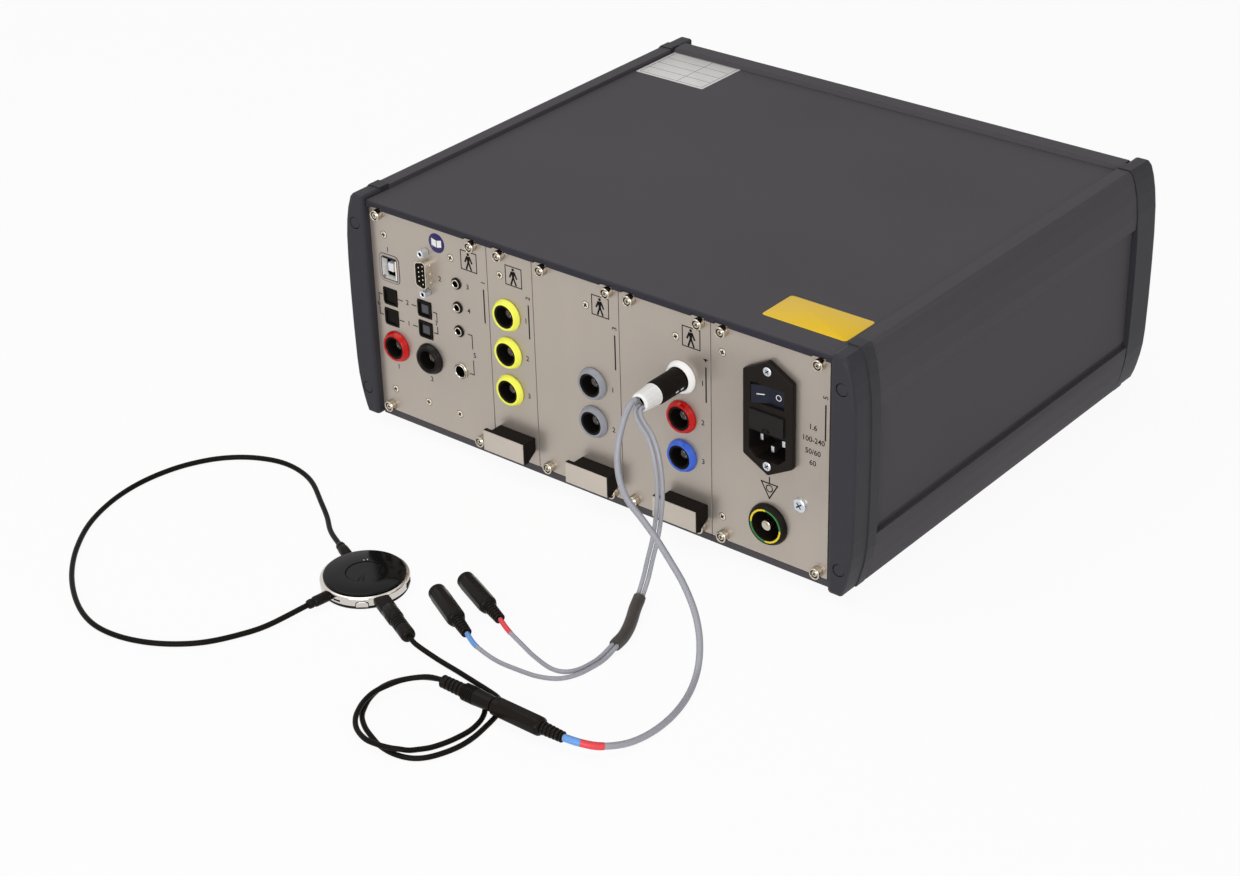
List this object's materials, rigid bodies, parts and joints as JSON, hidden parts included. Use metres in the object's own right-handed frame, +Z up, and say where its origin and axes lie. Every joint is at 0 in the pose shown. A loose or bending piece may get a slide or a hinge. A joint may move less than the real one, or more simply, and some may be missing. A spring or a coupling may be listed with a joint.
{
  "type": "audiometer",
  "caption": "Rack-built hearing tester with plug-in connector modules, mains inlet with rocker and fuse drawer, patient cords with in-line sockets, and a round remote on a neck loop",
  "frame": {"origin": "middle of the box of the case and its hand remote, on the table that the feet stand on", "axes": "+X to the right along the connector panels, +Y from the connector panels into the case, +Z up"},
  "size_m": [0.3989, 0.5539, 0.1466],
  "materials": {
    "case_paint": "fine textured dark grey paint",
    "cheek_plastic": "matt dark grey moulding",
    "boards": "green board",
    "power_unit": "plain sheet screen",
    "panel": "satin anodised, warm grey",
    "screw_metal": "bright nickel",
    "black_plastic": "satin black",
    "flap_grey": "matt mid grey",
    "usb_metal": "bright tin plate",
    "serial_metal": "bright zinc plate",
    "jack_metal": "bright nickel",
    "ring_red": "smooth red",
    "ring_yellow": "smooth lemon yellow",
    "ring_grey": "smooth mid grey",
    "ring_white": "smooth white",
    "ring_blue": "smooth blue",
    "plug_white": "smooth white, ribbed",
    "grey_cord": "smooth grey sheath",
    "black_cord": "satin black sheath",
    "remote_gloss": "mirror black",
    "remote_chrome": "polished"
  },
  "bodies": {
    "case": {"top_cover": "case_paint", "bottom_plate": "case_paint", "side_left": "case_paint", "side_right": "case_paint", "front_panel": "case_paint", "sill": "case_paint", "lintel": "case_paint", "cheek_near_left": "cheek_plastic", "cheek_near_right": "cheek_plastic", "cheek_far_left": "cheek_plastic", "cheek_far_right": "cheek_plastic", "circuit_boards": "boards", "power_unit": "power_unit", "panel_control": "panel", "panel_air": "panel", "panel_bone": "panel", "panel_field": "panel", "panel_power": "panel", "screw_strip_lower": "screw_metal", "screw_strip_upper": "screw_metal", "pull_handle_air": "black_plastic", "pull_handle_bone": "black_plastic", "pull_handle_field": "black_plastic", "optical_sockets": "black_plastic", "inlet_housing": "black_plastic", "earth_terminal": "black_plastic", "socket_line_black": "black_plastic", "plug_barrel": "black_plastic", "inline_socket_red": "black_plastic", "inline_socket_blue": "black_plastic", "inline_socket_remote": "black_plastic", "jack_plug": "black_plastic", "remote_base": "black_plastic", "usb_socket": "usb_metal", "serial_plug": "serial_metal", "jack_sockets": "jack_metal", "socket_line_red": "ring_red", "socket_field_red": "ring_red", "sockets_yellow": "ring_yellow", "sockets_grey": "ring_grey", "socket_field_white": "ring_white", "socket_field_blue": "ring_blue", "plug_collet": "plug_white", "remote_cable": "grey_cord", "lead_red": "grey_cord", "lead_blue": "grey_cord", "remote_cord": "black_cord", "neck_loop": "black_cord", "remote_plug": "black_cord", "lead_sleeve": "black_cord", "remote_face": "remote_gloss", "remote_ring": "remote_chrome"},
    "rocker": {"rocker": "black_plastic"},
    "fuse_drawer": {"fuse_drawer": "black_plastic"},
    "optical_flap_in_upper": {"optical_flap_in_upper": "black_plastic"},
    "optical_flap_in_lower": {"optical_flap_in_lower": "black_plastic"},
    "optical_flap_out_upper": {"optical_flap_out_upper": "flap_grey"},
    "optical_flap_out_lower": {"optical_flap_out_lower": "flap_grey"},
    "remote_button": {"remote_button": "remote_gloss"},
    "remote_rim_button": {"remote_rim_button": "remote_chrome"}
  },
  "joints": [
    {"name": "rocker_tilt", "type": "hinge", "parent": "case", "child": "rocker", "pos_m": [0.12138, -0.071, 0.1091], "axis": [0, 0, -1], "range_deg": [0, 24]},
    {"name": "fuse_drawer_slide", "type": "slide", "parent": "case", "child": "fuse_drawer", "axis": [0, -1, 0], "range_m": [0, 0.018]},
    {"name": "optical_flap_in_upper_hinge", "type": "hinge", "parent": "case", "child": "optical_flap_in_upper", "pos_m": [-0.14828, -0.0686, 0.08856], "axis": [1, 0, 0], "range_deg": [0, 80], "stiffness_Nm_per_rad": 0.0005},
    {"name": "optical_flap_in_lower_hinge", "type": "hinge", "parent": "case", "child": "optical_flap_in_lower", "pos_m": [-0.14828, -0.0686, 0.07545], "axis": [1, 0, 0], "range_deg": [0, 80], "stiffness_Nm_per_rad": 0.0005},
    {"name": "optical_flap_out_upper_hinge", "type": "hinge", "parent": "case", "child": "optical_flap_out_upper", "pos_m": [-0.12171, -0.0686, 0.08856], "axis": [1, 0, 0], "range_deg": [0, 80], "stiffness_Nm_per_rad": 0.0005},
    {"name": "optical_flap_out_lower_hinge", "type": "hinge", "parent": "case", "child": "optical_flap_out_lower", "pos_m": [-0.12171, -0.0686, 0.07545], "axis": [1, 0, 0], "range_deg": [0, 80], "stiffness_Nm_per_rad": 0.0005},
    {"name": "remote_button_press", "type": "slide", "parent": "case", "child": "remote_button", "axis": [0, 0, -1], "range_m": [0, 0.0005], "stiffness_N_per_m": 900},
    {"name": "remote_rim_button_press", "type": "slide", "parent": "case", "child": "remote_rim_button", "axis": [-0.6428, 0.766, 0], "range_m": [0, 0.0004], "stiffness_N_per_m": 700}
  ]
}
